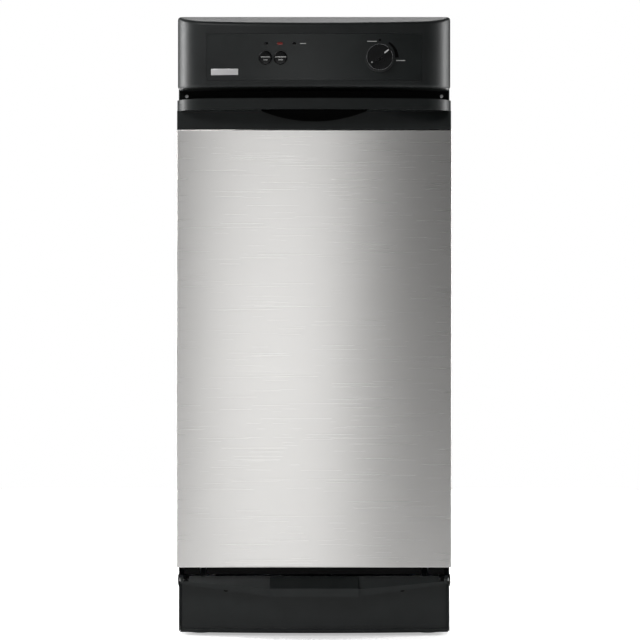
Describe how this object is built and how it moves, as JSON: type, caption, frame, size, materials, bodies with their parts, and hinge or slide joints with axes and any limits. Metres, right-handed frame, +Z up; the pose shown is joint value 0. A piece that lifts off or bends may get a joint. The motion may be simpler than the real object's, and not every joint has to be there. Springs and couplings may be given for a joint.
{
  "type": "trash compactor",
  "caption": "Undercounter household trash compactor with a pull-out bin drawer, screw-driven ram, bowed control console, handle lip and foot pedal.",
  "frame": {"origin": "on the floor, midway across and midway from front to back of the whole box", "axes": "+Z up, -Y towards the front (the drawer's side), +X to the right as seen from the front"},
  "size_m": [0.381, 0.629, 0.861],
  "materials": {
    "cabinet_paint": "baked black enamel, semi-gloss, on sheet steel",
    "galvanized_steel": "zinc-coated sheet steel",
    "stainless": "stainless steel, horizontal brushed grain",
    "console_plastic": "fine-textured charcoal plastic",
    "panel_gloss": "smooth dark overlay",
    "badge_metal": "satin plain badge",
    "lens_dark": "dark lamp lens",
    "lens_red": "lit red lamp lens",
    "control_black": "gloss black plastic",
    "toe_paint": "dark textured paint on sheet steel",
    "trim_plastic": "fine-textured charcoal plastic",
    "screw_steel": "plated steel",
    "dark_screw": "blackened steel",
    "nylon_white": "natural nylon",
    "rubber_black": "black rubber",
    "rail_steel": "zinc-plated steel",
    "bin_paint": "grey enamel on steel",
    "ram_paint": "grey enamel on steel",
    "motor_paint": "grey motor enamel",
    "rotor_steel": "turned steel",
    "gear_iron": "sintered iron",
    "chain_steel": "oiled steel chain",
    "bronze": "sintered bronze",
    "board_green": "circuit board",
    "switch_grey": "moulded switch body",
    "latch_red": "red moulded lever",
    "loom_black": "wire sleeve"
  },
  "bodies": {
    "cabinet": {"side_panel_left": "cabinet_paint", "side_panel_right": "cabinet_paint", "top_panel": "cabinet_paint", "back_panel": "galvanized_steel", "panel_screws": "screw_steel", "base_pan": "galvanized_steel", "side_frame_left": "galvanized_steel", "side_frame_right": "galvanized_steel", "top_crosshead": "galvanized_steel", "front_crossrail": "cabinet_paint", "rail_screws": "screw_steel", "console_housing": "console_plastic", "console_panel": "panel_gloss", "badge": "badge_metal", "indicator_lenses": "lens_dark", "on_lamp_lens": "lens_red", "rotary_switch": "switch_grey", "control_board": "board_green", "kick_plate": "toe_paint", "kick_plate_screws": "dark_screw", "pedal_pivot_pins": "screw_steel", "pedal_springs": "dark_screw", "drawer_tracks": "rail_steel", "roller_brackets": "rail_steel", "wheel_brackets": "rail_steel", "motor_housing": "motor_paint", "drive_chain": "chain_steel", "screw_bearings": "bronze", "limit_switches": "switch_grey", "cord_bushing": "rubber_black", "wiring_harness": "loom_black"},
    "drawer": {"stainless_skin": "stainless", "drawer_liner": "switch_grey", "handle_trim": "trim_plastic", "drawer_chassis": "rail_steel", "bin": "bin_paint", "bin_side_door": "bin_paint", "bag_buttons": "nylon_white"},
    "bin_latch": {"bin_latch_lever": "latch_red"},
    "front_roller_left": {"front_roller_left": "nylon_white"},
    "front_roller_right": {"front_roller_right": "nylon_white"},
    "rear_roller_left": {"rear_roller_left": "nylon_white"},
    "rear_roller_right": {"rear_roller_right": "nylon_white"},
    "rear_wheel_left": {"rear_wheel_left": "rubber_black"},
    "rear_wheel_right": {"rear_wheel_right": "rubber_black"},
    "leg_left": {"leveling_leg_left": "rail_steel"},
    "leg_right": {"leveling_leg_right": "rail_steel"},
    "pedal": {"foot_pedal": "toe_paint"},
    "knob": {"run_knob": "control_black"},
    "button_left": {"button_left": "control_black"},
    "button_right": {"button_right": "control_black"},
    "motor_rotor": {"motor_rotor": "rotor_steel"},
    "drive_gear": {"drive_gear": "gear_iron"},
    "screw_left": {"power_screw_left": "rotor_steel", "screw_sprocket_left": "gear_iron"},
    "screw_right": {"power_screw_right": "rotor_steel", "screw_sprocket_right": "gear_iron"},
    "ram": {"ram_plate": "ram_paint", "ram_box": "ram_paint", "ram_arms": "ram_paint", "ram_nuts": "bronze"}
  },
  "joints": [
    {"name": "drawer_slide", "type": "slide", "parent": "cabinet", "child": "drawer", "axis": [0, -1, 0], "range_m": [0, 0.37]},
    {"name": "motor_spin", "type": "hinge", "parent": "cabinet", "child": "motor_rotor", "pos_m": [0, 0.2445, 0.1], "axis": [0, 0, 1], "range_deg": [-59527.5, 0]},
    {"name": "gear_spin", "type": "hinge", "parent": "cabinet", "child": "drive_gear", "pos_m": [0, 0.2025, 0.037], "axis": [0, 0, 1], "range_deg": [0, 19842.6]},
    {"name": "screw_left_spin", "type": "hinge", "parent": "cabinet", "child": "screw_left", "pos_m": [-0.165, -0.0305, 0.4], "axis": [0, 0, 1], "range_deg": [0, 17008]},
    {"name": "screw_right_spin", "type": "hinge", "parent": "cabinet", "child": "screw_right", "pos_m": [0.165, -0.0305, 0.4], "axis": [0, 0, 1], "range_deg": [0, 17008]},
    {"name": "ram_travel", "type": "slide", "parent": "cabinet", "child": "ram", "axis": [0, 0, 1], "range_m": [-0.24, 0]},
    {"name": "front_roller_left_spin", "type": "hinge", "parent": "cabinet", "child": "front_roller_left", "pos_m": [-0.144, -0.2025, 0.0738], "axis": [1, 0, 0], "continuous": true},
    {"name": "front_roller_right_spin", "type": "hinge", "parent": "cabinet", "child": "front_roller_right", "pos_m": [0.144, -0.2025, 0.0738], "axis": [1, 0, 0], "continuous": true},
    {"name": "rear_roller_left_spin", "type": "hinge", "parent": "drawer", "child": "rear_roller_left", "pos_m": [-0.129, 0.1595, 0.0592], "axis": [1, 0, 0], "continuous": true},
    {"name": "rear_roller_right_spin", "type": "hinge", "parent": "drawer", "child": "rear_roller_right", "pos_m": [0.129, 0.1595, 0.0592], "axis": [1, 0, 0], "continuous": true},
    {"name": "rear_wheel_left_spin", "type": "hinge", "parent": "cabinet", "child": "rear_wheel_left", "pos_m": [-0.15, 0.2745, 0.018], "axis": [1, 0, 0], "continuous": true},
    {"name": "rear_wheel_right_spin", "type": "hinge", "parent": "cabinet", "child": "rear_wheel_right", "pos_m": [0.15, 0.2745, 0.018], "axis": [1, 0, 0], "continuous": true},
    {"name": "leg_left_travel", "type": "slide", "parent": "cabinet", "child": "leg_left", "axis": [0, 0, -1], "range_m": [0, 0.012]},
    {"name": "leg_right_travel", "type": "slide", "parent": "cabinet", "child": "leg_right", "axis": [0, 0, -1], "range_m": [0, 0.012]},
    {"name": "pedal_press", "type": "hinge", "parent": "cabinet", "child": "pedal", "pos_m": [0, -0.2525, 0.079], "axis": [1, 0, 0], "range_deg": [0, 10], "stiffness_Nm_per_rad": 1.2, "springref_deg": -14.32},
    {"name": "knob_turn", "type": "hinge", "parent": "cabinet", "child": "knob", "pos_m": [0.09, -0.2905, 0.801], "axis": [0, 1, 0], "range_deg": [-53, 37]},
    {"name": "button_left_press", "type": "slide", "parent": "cabinet", "child": "button_left", "axis": [0, 1, 0], "range_m": [0, 0.0015], "stiffness_N_per_m": 400, "springref_m": -0.0005},
    {"name": "button_right_press", "type": "slide", "parent": "cabinet", "child": "button_right", "axis": [0, 1, 0], "range_m": [0, 0.0015], "stiffness_N_per_m": 400, "springref_m": -0.0005},
    {"name": "bin_latch_turn", "type": "hinge", "parent": "drawer", "child": "bin_latch", "pos_m": [0.115, -0.2315, 0.48], "axis": [0, 1, 0], "range_deg": [-90, 0]}
  ],
  "couplings": [
    {"joint": "gear_spin", "follows": "motor_spin", "ratio": -0.33333},
    {"joint": "screw_left_spin", "follows": "motor_spin", "ratio": -0.28571},
    {"joint": "screw_right_spin", "follows": "motor_spin", "ratio": -0.28571},
    {"joint": "ram_travel", "follows": "motor_spin", "m_per_rad": 0.000231},
    {"joint": "front_roller_left_spin", "follows": "drawer_slide", "rad_per_m": 83.333},
    {"joint": "front_roller_right_spin", "follows": "drawer_slide", "rad_per_m": 83.333},
    {"joint": "rear_roller_left_spin", "follows": "drawer_slide", "rad_per_m": 86.957},
    {"joint": "rear_roller_right_spin", "follows": "drawer_slide", "rad_per_m": 86.957}
  ]
}
